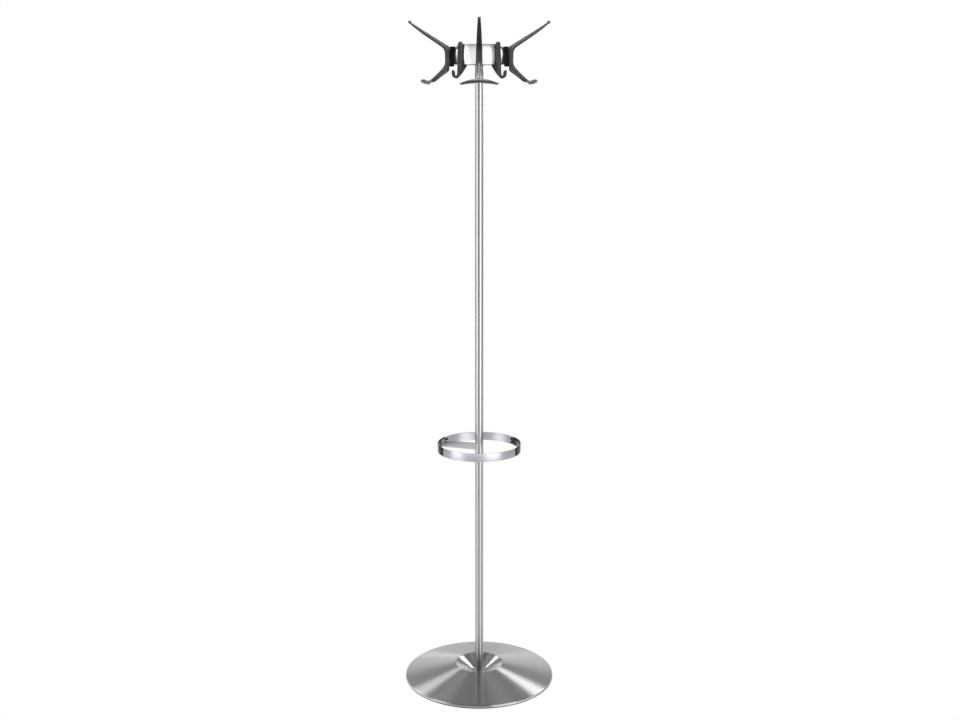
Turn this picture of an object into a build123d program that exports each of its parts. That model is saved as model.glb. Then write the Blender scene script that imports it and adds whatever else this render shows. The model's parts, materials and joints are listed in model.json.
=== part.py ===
from build123d import *
import math
import os

os.makedirs("parts", exist_ok=True)

# Standing coat rack with eight hooks and an umbrella ring. Millimetres, +Z up.
# The origin is on the floor, on the pole's axis, and the front of the rack looks along -Y.

# ---------------------------------------------------------------- driving dimensions
base_radius = 200.0
rim_height = 8.5            # top of the upright rim of the spun cover
lip_radius = 63.0           # the highest circle of the cover, round the funnel
lip_height = 38.0
funnel_floor_radius = 22.0
funnel_floor_height = 14.8
cover_sheet = 1.5

pole_radius = 11.0
pole_wall = 1.5
pole_top = 1664.0
pole_joint_height = 618.0

ring_radius = 110.0
ring_strip = 3.0
ring_height = 22.0
ring_middle = 647.0
ring_joint_half_angle = 32.0
ring_bar_angle = 162.0      # the bar runs to the left and 18 degrees back

drum_bottom = 1628.0
drum_top = 1676.5
drum_middle_radius = 62.8
drum_edge_radius = 60.5
drum_sheet = 2.0

large_hook_angles = {"front": -90.0, "right": 0.0, "rear": 90.0, "left": 180.0}
small_hook_angles = {"front_right": -45.0, "rear_right": 45.0, "rear_left": 135.0, "front_left": -135.0}
block_width = 13.0
block_outer = 73.5
hook_back = 73.5            # radius of the large hook's flat back
prong_tip_radius = 171.5
prong_tip_height = 1731.0
prong_ball_radius = 4.0
wing_half_length = 48.5     # half of the crescent bar under each large hook
wing_lip_radius = 146.0
wing_top = 1593.5
wing_bottom = 1583.0

screw_radius = 2.0
screw_head_radius = 4.0
screw_heights = (1640.0, 1664.0)

bore_radius = pole_radius - pole_wall
drum_middle = (drum_bottom + drum_top) / 2


# ---------------------------------------------------------------- helpers
def save(shape, node):
    """Write one node's solids to its STEP file."""
    export_step(shape, f"parts/{node}.step")


def turned(points, rounds=None):
    """Revolve a closed (radius, height) outline about the pole's axis.

    rounds maps the index of a corner to its fillet radius.
    """
    outline = Polyline(*points, close=True)
    face = make_face(Plane.XZ * outline)
    for index, radius in (rounds or {}).items():
        radial, height = points[index]
        corner = face.vertices().sort_by_distance((radial, 0, height))[0]
        face = fillet(corner, radius)
    return revolve(face, axis=Axis.Z)


def tube(outer, inner, bottom, top):
    """A ring or tube on the pole's axis; inner may be 0 for a solid disc."""
    middle = Pos(0, 0, (bottom + top) / 2)
    body = middle * Cylinder(outer, top - bottom)
    if inner > 0:
        body -= middle * Cylinder(inner, top - bottom + 2)
    return body


def rod(radius, start, end, angle=0.0, height=0.0):
    """A round bar that lies along a radius of the rack."""
    bar = Pos((start + end) / 2, 0, height) * (Rot(0, 90, 0) * Cylinder(radius, end - start))
    return Rot(0, 0, angle) * bar


def shifted(points, amount):
    """Corners of an open outline moved sideways by amount, to the right of its direction."""
    lines = []
    for (r0, z0), (r1, z1) in zip(points, points[1:]):
        length = math.hypot(r1 - r0, z1 - z0)
        across = ((z1 - z0) / length * amount, -(r1 - r0) / length * amount)
        lines.append((r0 + across[0], z0 + across[1], r1 - r0, z1 - z0))
    corners = [lines[0][:2]]
    for (ra, za, dra, dza), (rb, zb, drb, dzb) in zip(lines, lines[1:]):
        along = ((rb - ra) * dzb - (zb - za) * drb) / (dra * dzb - dza * drb)
        corners.append((ra + dra * along, za + dza * along))
    last = lines[-1]
    corners.append((last[0] + last[2], last[1] + last[3]))
    return corners


def side_plate(outline, half_width):
    """A plate with its outline in the radial plane, centred on that plane."""
    return extrude(make_face(Plane.XZ * outline), half_width, both=True)


def front_mask(widths, depth=400.0):
    """A tall bar whose half width follows (height, half width) pairs from the top down."""
    right = [(half, height) for height, half in widths]
    left = [(-half, height) for height, half in reversed(widths)]
    face = make_face(Plane.YZ * Polyline(*right, *left, close=True))
    return extrude(face, depth, both=True)


# ---------------------------------------------------------------- base
rim_foot = 2.5
cover_outline = [
    (base_radius, rim_foot),
    (base_radius, rim_height),
    (lip_radius, lip_height),
    (funnel_floor_radius, funnel_floor_height),
    (6.0, funnel_floor_height),
]
cover_inside = shifted(cover_outline, -cover_sheet)
lip_round = 6.0
base_cover = turned(
    cover_outline + cover_inside[::-1],
    {1: 3.0, 2: lip_round, 3: 5.0, 6: 3.5, 7: lip_round - cover_sheet, 8: 1.5},
)
base_cover -= tube(5.5, 0, funnel_floor_height - 5, funnel_floor_height + 5)

weight_bottom = rim_foot
weight_top = funnel_floor_height - cover_sheet
counterbore_top = 9.5
base_weight = turned([
    (5.5, weight_bottom),
    (178.0, weight_bottom),
    (178.0, 11.0),
    (155.0, 15.5),
    (72.0, 15.5),
    (62.0, 11.5),
    (24.0, 11.5),
    (21.0, weight_top),
    (5.5, weight_top),
])
base_weight -= tube(15.0, 0, weight_bottom - 1, counterbore_top)

floor_ring = turned([
    (165.0, 0.0),
    (base_radius - 0.8, 0.0),
    (base_radius - 0.8, rim_foot),
    (base_radius - cover_sheet, rim_foot),
    (base_radius - cover_sheet, 5.5),
    (base_radius - 9.0, 5.5),
    (base_radius - 9.0, rim_foot),
    (165.0, rim_foot),
])

bolt_radius = 5.0
washer_bottom = counterbore_top - 1.6
bolt_top = 44.0
base_washer = tube(12.0, bolt_radius, washer_bottom, counterbore_top)
bolt_head_bottom = washer_bottom - 6.0
base_bolt = Pos(0, 0, bolt_head_bottom) * extrude(RegularPolygon(9.0, 6), 6.0)
base_bolt += tube(bolt_radius, 0, washer_bottom, bolt_top)

save(base_cover, "base_cover")
save(base_weight, "base_weight")
save(floor_ring, "floor_ring")
save(base_washer, "base_washer")
save(base_bolt, "base_bolt")

# ---------------------------------------------------------------- pole
coupler_bottom = 570.0
coupler_top = 690.0
stud_radius = 3.0
cross_hole = rod(stud_radius, 0, pole_radius + 5, ring_bar_angle, ring_middle)

pole_lower = tube(pole_radius, bore_radius, funnel_floor_height, pole_joint_height)
pole_upper = tube(pole_radius, bore_radius, pole_joint_height, pole_top) - cross_hole
pole_coupler = tube(bore_radius, 0, coupler_bottom, coupler_top) - cross_hole
pole_foot_plug = tube(bore_radius, bolt_radius, funnel_floor_height, 60.0)
top_bolt_radius = 4.0
pole_top_plug = tube(bore_radius, top_bolt_radius, 1620.0, pole_top)

save(pole_lower, "pole_lower")
save(pole_upper, "pole_upper")
save(pole_coupler, "pole_coupler")
save(pole_foot_plug, "pole_foot_plug")
save(pole_top_plug, "pole_top_plug")

# ---------------------------------------------------------------- umbrella ring
ring_bottom = ring_middle - ring_height / 2
ring_top = ring_middle + ring_height / 2
ring_inner = ring_radius - ring_strip
edge_step = 1.2             # how far the strip's rounded edges fall back from its crown


def ring_segment(start, end, inner, outer, trim=0.0):
    """A bent strip between two angles, in degrees from +X, with rounded outer edges."""
    low = ring_bottom + trim
    high = ring_top - trim
    outline = (
        Line((inner, low), (outer - edge_step, low))
        + ThreePointArc((outer - edge_step, low), (outer, ring_middle), (outer - edge_step, high))
        + Line((outer - edge_step, high), (inner, high))
        + Line((inner, high), (inner, low))
    )
    face = make_face(Plane.XZ * outline)
    return Rot(0, 0, start) * revolve(face, axis=Axis.Z, revolution_arc=end - start)


half = ring_joint_half_angle
tongue_angle = 5.0
tongue_inner = ring_inner - 2.5
ring_front_arc = ring_segment(180 + half, 360 - half, ring_inner, ring_radius)
ring_rear_arc = ring_segment(half, 180 - half, ring_inner, ring_radius)
ring_joint_right = ring_segment(-half, half, ring_inner, ring_radius)
ring_joint_right += ring_segment(-half - tongue_angle, half + tongue_angle, tongue_inner, ring_inner + edge_step, 3.0) \
    - tube(ring_radius + 5, ring_inner, ring_bottom - 1, ring_top + 1)

# The left joint is the right one turned half way round, so both come from one mould.
ring_joint_left = Rot(0, 0, 180) * ring_joint_right

bar_height = 18.0
bar_thick = 4.0
tab_length = 20.0
tab_thick = 2.5
tab_inner = tongue_inner - tab_thick
bar_web = Pos((pole_radius + tab_inner) / 2, 0, ring_middle) * Box(tab_inner - pole_radius + 1.0, bar_thick, bar_height)
bar_web -= tube(pole_radius, 0, ring_bottom, ring_top)
tab_half_angle = math.degrees(tab_length / 2 / tongue_inner)
bar_tab = ring_segment(-tab_half_angle, tab_half_angle, tab_inner, tongue_inner + edge_step, 2.0)
bar_tab -= tube(ring_radius + 5, tongue_inner, ring_bottom - 1, ring_top + 1)
ring_bar = Rot(0, 0, ring_bar_angle) * (bar_web + bar_tab)
ring_bar += rod(stud_radius, 2.0, pole_radius + 3, ring_bar_angle, ring_middle)

# Small pan-head screws: one through each tongue into the strip, and two through the bar's tab.
tongue_screw_angles = [side + sign * (half + tongue_angle / 2) for side in (0, 180) for sign in (-1, 1)]
ring_joint_screws = []
for angle in tongue_screw_angles:
    shank = rod(1.5, tongue_inner, ring_radius - 1.5, angle, ring_middle)
    head = rod(2.6, tongue_inner - 1.6, tongue_inner, angle, ring_middle)
    ring_joint_screws.append(shank + head)
ring_tab_screws = []
for sign in (-1, 1):
    angle = ring_bar_angle + sign * tab_half_angle * 0.68
    shank = rod(1.5, tab_inner, ring_radius - 1.5, angle, ring_middle)
    head = rod(2.6, tab_inner - 1.6, tab_inner, angle, ring_middle)
    ring_tab_screws.append(shank + head)

for screw in ring_joint_screws:
    ring_front_arc -= screw
    ring_rear_arc -= screw
    ring_joint_left -= screw
    ring_joint_right -= screw
for screw in ring_tab_screws:
    ring_joint_left -= screw
    ring_bar -= screw

save(ring_front_arc, "ring_front_arc")
save(ring_rear_arc, "ring_rear_arc")
save(ring_joint_left, "ring_joint_left")
save(ring_joint_right, "ring_joint_right")
save(ring_bar, "ring_bar")
save(Compound(ring_joint_screws), "ring_joint_screws")
save(Compound(ring_tab_screws), "ring_tab_screws")


# ---------------------------------------------------------------- head drum
def barrel(offset=0.0):
    """The solid inside the drum's outer surface, moved in by offset."""
    edge = drum_edge_radius - offset
    outline = (
        Line((0, drum_bottom), (edge, drum_bottom))
        + ThreePointArc((edge, drum_bottom), (drum_middle_radius - offset, drum_middle), (edge, drum_top))
        + Line((edge, drum_top), (0, drum_top))
        + Line((0, drum_top), (0, drum_bottom))
    )
    return revolve(make_face(Plane.XZ * outline), axis=Axis.Z)


hub_radius = drum_edge_radius - drum_sheet
hub_wall = 4.0
sleeve_radius = 17.0
hub_floor = 3.0
cap_sheet = 2.0
hub_bottom = drum_bottom + cap_sheet
hub_top = drum_top - 3.0
web_top = pole_top + 4.0

drum_shell = barrel() - barrel(drum_sheet)
drum_inside = tube(hub_radius, 0, drum_bottom - 1, drum_top + 1)
drum_shell -= drum_inside
bottom_cap = tube(hub_radius, pole_radius, drum_bottom, hub_bottom)

hub = tube(hub_radius, hub_radius - hub_wall, hub_bottom, hub_top)
hub += tube(hub_radius - hub_wall + 0.5, sleeve_radius - 0.5, hub_bottom, hub_bottom + hub_floor)
hub += tube(sleeve_radius, pole_radius, hub_bottom, pole_top)
hub += tube(sleeve_radius, top_bolt_radius, pole_top, web_top)
rib_thick = 3.0
for step in range(8):
    rib_length = hub_radius - hub_wall - sleeve_radius + 1.0
    rib = Pos(sleeve_radius - 0.5 + rib_length / 2, 0, (hub_bottom + hub_top - 8) / 2)
    hub += Rot(0, 0, 22.5 + 45 * step) * (rib * Box(rib_length, rib_thick, hub_top - 8 - hub_bottom))

top_cap = turned([
    (0, hub_top),
    (hub_radius, hub_top),
    (hub_radius, drum_top - 0.8),
    (hub_radius - 0.8, drum_top),
    (0, drum_top),
])
top_cap += tube(hub_radius - hub_wall, hub_radius - hub_wall - 2, hub_top - 4, hub_top)

head_washer = tube(10.0, top_bolt_radius, web_top, web_top + 1.5)
head_bolt = tube(7.0, 0, web_top + 1.5, web_top + 5.0) + tube(top_bolt_radius, 0, 1640.0, web_top + 1.5)
head_bolt -= Pos(0, 0, web_top + 3.5) * extrude(RegularPolygon(2.9, 6), 3.0)


# ---------------------------------------------------------------- large hooks
def large_hook():
    """Hook that points along +X: a hat prong above, and a leg with a crescent bar below."""
    outline = (
        Line((hook_back, 1612.0), (hook_back, 1672.0))
        + Spline((hook_back, 1672.0), (97.0, 1686.5), (139.0, 1711.5), (168.5, 1730.5))
        + Line((168.5, 1730.5), (169.5, 1724.5))
        + Spline((169.5, 1724.5), (146.5, 1706.8), (117.0, 1687.0), (91.0, 1669.0), (86.2, 1661.0))
        + Line((86.2, 1661.0), (85.0, 1634.0))
        + Spline((85.0, 1634.0), (88.5, 1625.0), (98.0, 1613.0), (119.5, 1592.5))
        + Line((119.5, 1592.5), (121.0, 1584.0))
        + Line((121.0, 1584.0), (110.0, 1585.5))
        + Spline((110.0, 1585.5), (97.0, 1596.0), (80.0, 1608.5), (hook_back, 1612.0))
    )
    arm = side_plate(outline, 12.0)
    arm &= front_mask([
        (1740.0, 3.2), (1726.0, 3.4), (1672.0, 7.4), (1634.0, 8.4), (1592.0, 10.0), (1570.0, 10.0),
    ])
    ball = Pos(prong_tip_radius, 0, prong_tip_height) * Sphere(prong_ball_radius)

    tip_top = wing_top - 12.3
    tip_bottom = wing_bottom - 3.5
    length = wing_half_length
    elevation = (
        ThreePointArc((-length, tip_top), (0, wing_top), (length, tip_top))
        + Line((length, tip_top), (length, tip_bottom))
        + ThreePointArc((length, tip_bottom), (0, wing_bottom), (-length, tip_bottom))
        + Line((-length, tip_bottom), (-length, tip_top))
    )
    plan = (
        ThreePointArc((128.0, -length), (wing_lip_radius, 0), (128.0, length))
        + Line((128.0, length), (125.0, length))
        + ThreePointArc((125.0, length), (116.0, 0), (125.0, -length))
        + Line((125.0, -length), (128.0, -length))
    )
    wing = extrude(make_face(Plane.YZ * elevation), 200, both=True)
    wing &= Pos(0, 0, 1550) * extrude(make_face(Plane.XY * plan), 100)
    return arm + ball + wing


def hook_block():
    """Spacer between the drum and a large hook, with its back cut to the barrel."""
    low = 1623.5
    high = 1672.0
    body = Pos((55 + block_outer) / 2, 0, (low + high) / 2) * Box(block_outer - 55, block_width, high - low)
    return body - tube(drum_middle_radius, 0, drum_bottom - 10, drum_bottom) - barrel()


# ---------------------------------------------------------------- small hooks
def small_hook():
    """Hook that points along +X: a slim plate on the drum with a fin and a J below."""
    outline = (
        Line((59.0, 1628.0), (59.0, 1679.0))
        + ThreePointArc((59.0, 1679.0), (64.0, 1682.5), (68.0, 1678.0))
        + Spline((68.0, 1678.0), (68.6, 1660.0), (69.6, 1638.0), (74.0, 1606.5))
        + ThreePointArc((74.0, 1606.5), (81.0, 1600.5), (87.6, 1607.0))
        + Line((87.6, 1607.0), (87.8, 1612.5))
        + ThreePointArc((87.8, 1612.5), (90.8, 1615.2), (93.8, 1612.5))
        + Line((93.8, 1612.5), (93.6, 1606.0))
        + ThreePointArc((93.6, 1606.0), (90.2, 1598.0), (82.0, 1594.7))
        + ThreePointArc((82.0, 1594.7), (76.0, 1596.6), (72.0, 1600.0))
        + Line((72.0, 1600.0), (44.0, 1627.2))
        + Line((44.0, 1627.2), (44.0, 1628.0))
        + Line((44.0, 1628.0), (59.0, 1628.0))
    )
    body = side_plate(outline, 10.0)
    body &= front_mask([
        (1690.0, 7.4), (1645.0, 7.6), (1612.0, 4.4), (1604.0, 3.2), (1590.0, 3.0),
    ])
    return body - barrel()


def hook_screws(tip_radius):
    """Two screws that run out from inside the drum into a hook that points along +X."""
    seat = hub_radius - hub_wall
    pair = []
    for height in screw_heights:
        head = rod(screw_head_radius, seat - 3.0, seat, 0, height)
        pair.append(head + rod(screw_radius, seat - 1.0, tip_radius, 0, height))
    return pair


large_screws = hook_screws(82.0)
small_screws = hook_screws(66.0)
hook_form = large_hook()
block_form = hook_block()
small_form = small_hook()
for screw in large_screws:
    hook_form -= screw
    block_form -= screw
for screw in small_screws:
    small_form -= screw

all_large_screws = []
for place, angle in large_hook_angles.items():
    save(Rot(0, 0, angle) * hook_form, f"coat_hook_{place}")
    save(Rot(0, 0, angle) * block_form, f"hook_block_{place}")
    all_large_screws += [Rot(0, 0, angle) * screw for screw in large_screws]
all_small_screws = []
for place, angle in small_hook_angles.items():
    save(Rot(0, 0, angle) * small_form, f"small_hook_{place}")
    all_small_screws += [Rot(0, 0, angle) * screw for screw in small_screws]

for screw in all_large_screws + all_small_screws:
    hub -= screw
    drum_shell -= screw

save(drum_shell, "drum_shell")
save(bottom_cap, "drum_bottom_cap")
save(hub, "head_hub")
save(top_cap, "drum_top_cap")
save(head_washer, "head_washer")
save(head_bolt, "head_bolt")
save(Compound(all_large_screws), "coat_hook_screws")
save(Compound(all_small_screws), "small_hook_screws")
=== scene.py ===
"""Standing coat rack: the visual model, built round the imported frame.

Each sub-assembly is a class that builds its meshes, dresses them and reports them. Sizes are in
millimetres, and MM turns them into the scene's metres. Hooks are modelled pointing along +X and
turned about the pole's axis into place. The studio's own sizes are in metres and degrees.
"""

import json
import logging
import math
from collections.abc import Callable, Sequence
from dataclasses import dataclass, field
from enum import Enum

import bmesh
import bpy
from mathutils import Matrix, Vector

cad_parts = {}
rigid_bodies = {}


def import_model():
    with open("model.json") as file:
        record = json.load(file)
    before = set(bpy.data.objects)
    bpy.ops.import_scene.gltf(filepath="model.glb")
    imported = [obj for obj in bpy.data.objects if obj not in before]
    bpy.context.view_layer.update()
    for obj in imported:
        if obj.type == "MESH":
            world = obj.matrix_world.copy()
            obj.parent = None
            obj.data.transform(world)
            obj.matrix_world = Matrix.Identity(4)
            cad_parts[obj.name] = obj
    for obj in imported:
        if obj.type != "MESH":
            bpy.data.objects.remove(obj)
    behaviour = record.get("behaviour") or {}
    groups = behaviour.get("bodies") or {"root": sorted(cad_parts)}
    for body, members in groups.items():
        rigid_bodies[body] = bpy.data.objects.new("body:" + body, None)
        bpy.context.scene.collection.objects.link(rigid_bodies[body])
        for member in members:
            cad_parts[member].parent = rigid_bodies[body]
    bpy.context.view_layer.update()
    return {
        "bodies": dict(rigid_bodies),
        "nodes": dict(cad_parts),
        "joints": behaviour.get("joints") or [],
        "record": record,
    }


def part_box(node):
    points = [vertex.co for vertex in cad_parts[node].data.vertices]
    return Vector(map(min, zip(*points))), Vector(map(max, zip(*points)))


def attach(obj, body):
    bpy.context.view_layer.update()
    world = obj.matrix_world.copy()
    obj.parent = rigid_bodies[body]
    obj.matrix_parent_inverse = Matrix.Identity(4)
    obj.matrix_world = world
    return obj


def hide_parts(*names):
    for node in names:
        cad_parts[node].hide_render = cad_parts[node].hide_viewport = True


MM = 0.001
ROOT = "root"
CRISP_ANGLE = 38.0          # edges that turn by more degrees than this stay crisp
CHANNEL_WIDTH = 0.58        # of a moulded arm's channel, as a share of the arm's own
GROOVE_PLACE = -0.34        # of the groove along its sides, as a share of half its depth
GROOVE_REACH = 0.24
log = logging.getLogger("coat_rack")

Point = tuple[float, float]
Corner = tuple[float, float, float]
Colour = tuple[float, float, float, float]
Piece = bpy.types.Object
Material = bpy.types.Material
Socket = bpy.types.NodeSocket
Feed = Socket | float | Colour


# ---------------------------------------------------------------- outlines
def rounded_outline(corners: Sequence[Corner], steps: int, guard: float,
                    closed: bool = True) -> list[Point]:
    """Turn corners into points, with an arc at each corner that has a radius.

    Args:
        corners: (across, up, radius) of each corner; radius 0 keeps the corner sharp.
        steps: How many pieces each arc has.
        guard: How far past an arc's ends an extra point holds the straight runs flat.
        closed: Whether the last corner joins the first.

    Returns:
        The outline's points, in order.
    """
    points: list[Point] = []
    count = len(corners)
    for index, (x, y, radius) in enumerate(corners):
        is_end = not closed and index in (0, count - 1)
        if radius <= 0 or is_end:
            points.append((x, y))
            continue
        here = Vector((x, y))
        to_last = (Vector(corners[index - 1][:2]) - here).normalized()
        to_next = (Vector(corners[(index + 1) % count][:2]) - here).normalized()
        half = to_last.angle(to_next) / 2
        reach = radius / math.tan(half)
        middle = here + (to_last + to_next).normalized() * (radius / math.sin(half))
        first = here + to_last * reach - middle
        last = here + to_next * reach - middle
        turn = math.atan2(first.cross(last), first.dot(last))
        points.append(tuple(here + to_last * (reach + guard)))
        for step in range(steps + 1):
            arm = first.copy()
            arm.rotate(Matrix.Rotation(turn * step / steps, 2))
            points.append(tuple(middle + arm))
        points.append(tuple(here + to_next * (reach + guard)))
    return points


def rounded_box(across: Point, up: Point, radius: float, steps: int, guard: float) -> list[Point]:
    """Make the outline of a rectangle with rounded corners.

    Args:
        across: Its two ends across.
        up: Its two ends up.
        radius: The radius of its corners.
        steps: How many pieces each corner has.
        guard: How far past a corner an extra point holds the straight run flat.

    Returns:
        The closed outline's points, in order.
    """
    (left, right), (low, high) = across, up
    return rounded_outline([(left, low, radius), (right, low, radius), (right, high, radius),
                            (left, high, radius)], steps, guard)


def sheet_outline(points: Sequence[Point], thickness: float) -> list[Point]:
    """Close an open outline into a bent sheet that lies to the right of its direction.

    Args:
        points: The sheet's outer face, in order.
        thickness: The sheet's thickness.

    Returns:
        The outer face followed by the inner face, backwards.
    """
    inner: list[Point] = []
    for index, here in enumerate(points):
        before = Vector(points[max(index - 1, 0)])
        after = Vector(points[min(index + 1, len(points) - 1)])
        along = (after - before).normalized()
        inner.append((here[0] + along.y * thickness, here[1] - along.x * thickness))
    return list(points) + inner[::-1]


def catmull(stations: Sequence[Sequence[float]], steps: int) -> list[tuple[float, ...]]:
    """Run a smooth curve through rows of numbers.

    Args:
        stations: Rows of the same length, which the curve passes through.
        steps: How many pieces each stretch between two rows has.

    Returns:
        The rows of the finer curve.
    """
    rows: list[tuple[float, ...]] = []
    last = len(stations) - 1
    for index in range(last):
        p0, p1 = stations[max(index - 1, 0)], stations[index]
        p2, p3 = stations[index + 1], stations[min(index + 2, last)]
        for step in range(steps):
            t = step / steps
            rows.append(tuple(
                0.5 * (2 * b + (c - a) * t + (2 * a - 5 * b + 4 * c - d) * t ** 2
                       + (3 * b - a - 3 * c + d) * t ** 3)
                for a, b, c, d in zip(p0, p1, p2, p3)))
    rows.append(tuple(stations[last]))
    return rows


# ---------------------------------------------------------------- meshes
def placed(name: str, data: bpy.types.ID) -> Piece:
    """Put a mesh, light or camera in the scene as a new object.

    Args:
        name: The object's name.
        data: What it shows.

    Returns:
        The new object.
    """
    thing = bpy.data.objects.new(name, data)
    bpy.context.scene.collection.objects.link(thing)
    return thing


def new_piece(name: str, points: Sequence[Vector], faces: Sequence[Sequence[int]]) -> Piece:
    """Make a mesh object from points in millimetres.

    Args:
        name: The piece's name.
        points: Corners, in millimetres.
        faces: Faces as indices of points.

    Returns:
        The new object, in the scene.
    """
    mesh = bpy.data.meshes.new(name)
    mesh.from_pydata([Vector(point) * MM for point in points], [], faces)
    tidy = bmesh.new()
    tidy.from_mesh(mesh)
    bmesh.ops.remove_doubles(tidy, verts=tidy.verts, dist=1e-6)
    bmesh.ops.recalc_face_normals(tidy, faces=tidy.faces)
    tidy.to_mesh(mesh)
    tidy.free()
    mesh.shade_smooth()
    mesh.set_sharp_from_angle(angle=math.radians(CRISP_ANGLE))
    return placed(name, mesh)


def revolved(name: str, outline: Sequence[Point], segments: int = 192,
             closed: bool = True) -> Piece:
    """Spin a (radius, height) outline about the pole's axis.

    Args:
        name: The piece's name.
        outline: Points of the outline; a radius of 0 becomes one point on the axis.
        segments: How many pieces the circle has.
        closed: Whether the outline's last point joins its first.

    Returns:
        The new object.
    """
    points: list[Vector] = []
    rings: list[list[int]] = []
    for radius, height in outline:
        start = len(points)
        count = segments if radius > 1e-6 else 1
        for step in range(count):
            angle = math.tau * step / segments
            points.append(Vector((radius * math.cos(angle), radius * math.sin(angle), height)))
        rings.append([start + step % count for step in range(segments)])
    pairs = list(zip(rings, rings[1:]))
    if closed:
        pairs.append((rings[-1], rings[0]))
    faces: list[tuple[int, ...]] = []
    for low, high in pairs:
        for step in range(segments):
            after = (step + 1) % segments
            corners = dict.fromkeys((low[step], low[after], high[after], high[step]))
            if len(corners) > 2:
                faces.append(tuple(corners))
    return new_piece(name, points, faces)


def lofted(name: str, rings: Sequence[Sequence[Vector]]) -> Piece:
    """Join closed rings of points, in order, and close both ends.

    Args:
        name: The piece's name.
        rings: Rings with the same number of points, in millimetres.

    Returns:
        The new object.
    """
    count = len(rings[0])
    points = [Vector(point) for ring in rings for point in ring]
    faces: list[tuple[int, ...]] = []
    for row in range(len(rings) - 1):
        for step in range(count):
            after = (step + 1) % count
            low, high = row * count, (row + 1) * count
            faces.append((low + step, low + after, high + after, high + step))
    faces.append(tuple(range(count)))
    faces.append(tuple(range((len(rings) - 1) * count, len(rings) * count)))
    return new_piece(name, points, faces)


def swept_arc(name: str, ends: Point, section: Callable[[float], Sequence[Point]],
              marks: Sequence[float] = ()) -> Piece:
    """Sweep a (radius, height) section about the pole's axis through part of a turn.

    Args:
        name: The piece's name.
        ends: First and last angle, in degrees from +X.
        section: Gives the closed section at an angle, always with as many points.
        marks: Angles where the section changes at once; each gets a ring on both sides.

    Returns:
        The new object.
    """
    tiny, widest = 1e-5, 1.5
    stops = sorted([*ends, *[mark + sign * tiny for mark in marks for sign in (-1, 1)]])
    angles: list[float] = []
    for low, high in zip(stops, stops[1:]):
        count = max(1, math.ceil((high - low) / widest))
        angles += [low + (high - low) * index / count for index in range(count)]
    rings = []
    for angle in (*angles, ends[1]):
        across, along = math.cos(math.radians(angle)), math.sin(math.radians(angle))
        rings.append([Vector((r * across, r * along, z)) for r, z in section(angle)])
    return lofted(name, rings)


def add_bevel(piece: Piece, width: float, segments: int) -> None:
    """Round a piece's crisp edges.

    Args:
        piece: The object.
        width: The bevel's width in millimetres.
        segments: Pieces across the bevel.
    """
    bevel = piece.modifiers.new("edge_round", "BEVEL")
    bevel.width = width * MM
    bevel.segments = segments
    bevel.limit_method = "ANGLE"
    bevel.angle_limit = math.radians(40.0)
    bevel.use_clamp_overlap = True


def settle(piece: Piece) -> None:
    """Apply a piece's modifiers to its mesh.

    Args:
        piece: The object.
    """
    view = bpy.context.evaluated_depsgraph_get()
    view.update()
    mesh = bpy.data.meshes.new_from_object(piece.evaluated_get(view))
    piece.modifiers.clear()
    old, piece.data = piece.data, mesh
    mesh.name = piece.name
    bpy.data.meshes.remove(old)


def fused(name: str, parts: Sequence[Piece], voxel: float, rounds: int) -> Piece:
    """Melt closed shells into one moulded skin with soft inner corners.

    Args:
        name: The new piece's name.
        parts: The shells, which are used up.
        voxel: Size of the skin's facets, in millimetres.
        rounds: How many times the skin is relaxed.

    Returns:
        The new object.
    """
    whole = bmesh.new()
    for part in parts:
        whole.from_mesh(part.data)
        bpy.data.objects.remove(part)
    mesh = bpy.data.meshes.new(name)
    whole.to_mesh(mesh)
    whole.free()
    piece = placed(name, mesh)
    melt = piece.modifiers.new("melt", "REMESH")
    melt.mode = "VOXEL"
    melt.voxel_size = voxel * MM
    relax = piece.modifiers.new("relax", "SMOOTH")
    relax.factor = 0.5
    relax.iterations = rounds
    settle(piece)
    piece.data.shade_smooth()
    return piece


def unite(piece: Piece, other: Piece) -> None:
    """Join another closed shell to a piece as one solid.

    Args:
        piece: The object that stays.
        other: The object that is used up.
    """
    union = piece.modifiers.new("union", "BOOLEAN")
    union.operation = "UNION"
    union.solver = "EXACT"
    union.object = other
    settle(piece)
    bpy.data.objects.remove(other)
    piece.data.set_sharp_from_angle(angle=math.radians(CRISP_ANGLE))


def turned_copy(source: Piece, name: str, angle: float) -> Piece:
    """Copy a piece and turn the copy about the pole's axis.

    Args:
        source: The object to copy.
        name: The copy's name.
        angle: The turn, in degrees.

    Returns:
        The copy.
    """
    mesh = source.data.copy()
    mesh.name = name
    mesh.transform(Matrix.Rotation(math.radians(angle), 4, "Z"))
    return placed(name, mesh)


def install(piece: Piece, material: Material, node: str) -> None:
    """Dress a new piece, put it on the rack's body and let it stand for its node.

    Args:
        piece: The finished object.
        material: Its material.
        node: The node that it stands for.
    """
    piece.data.materials.clear()
    piece.data.materials.append(material)
    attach(piece, ROOT)
    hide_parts(node)
    log.info("%s: %d faces", piece.name, len(piece.data.polygons))


def dress_node(frame: dict, node: str, material: Material) -> None:
    """Give a node that keeps its own shape a better material.

    Args:
        frame: What the frame holds.
        node: The node's name.
        material: Its new material.
    """
    thing = frame["nodes"][node]
    if not thing.material_slots:
        thing.data.materials.append(material)
    for holder in thing.material_slots:
        holder.material = material
    log.info("%s: own shape", node)


def set_round(places: dict[str, float], *forms: tuple[str, Piece, Material, str]) -> None:
    """Set copies of some forms round the drum, and drop the forms.

    Args:
        places: The name of each place, with its angle in degrees.
        *forms: The kind of node that a form makes, the form, its material and a slot name, which is
                not used.
    """
    for place, angle in places.items():
        for kind, form, material, slot in forms:
            copy = turned_copy(form, f"{kind}_{place}_moulded", angle)
            install(copy, material, f"{kind}_{place}")
    for _, form, _, _ in forms:
        bpy.data.objects.remove(form)


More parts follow.
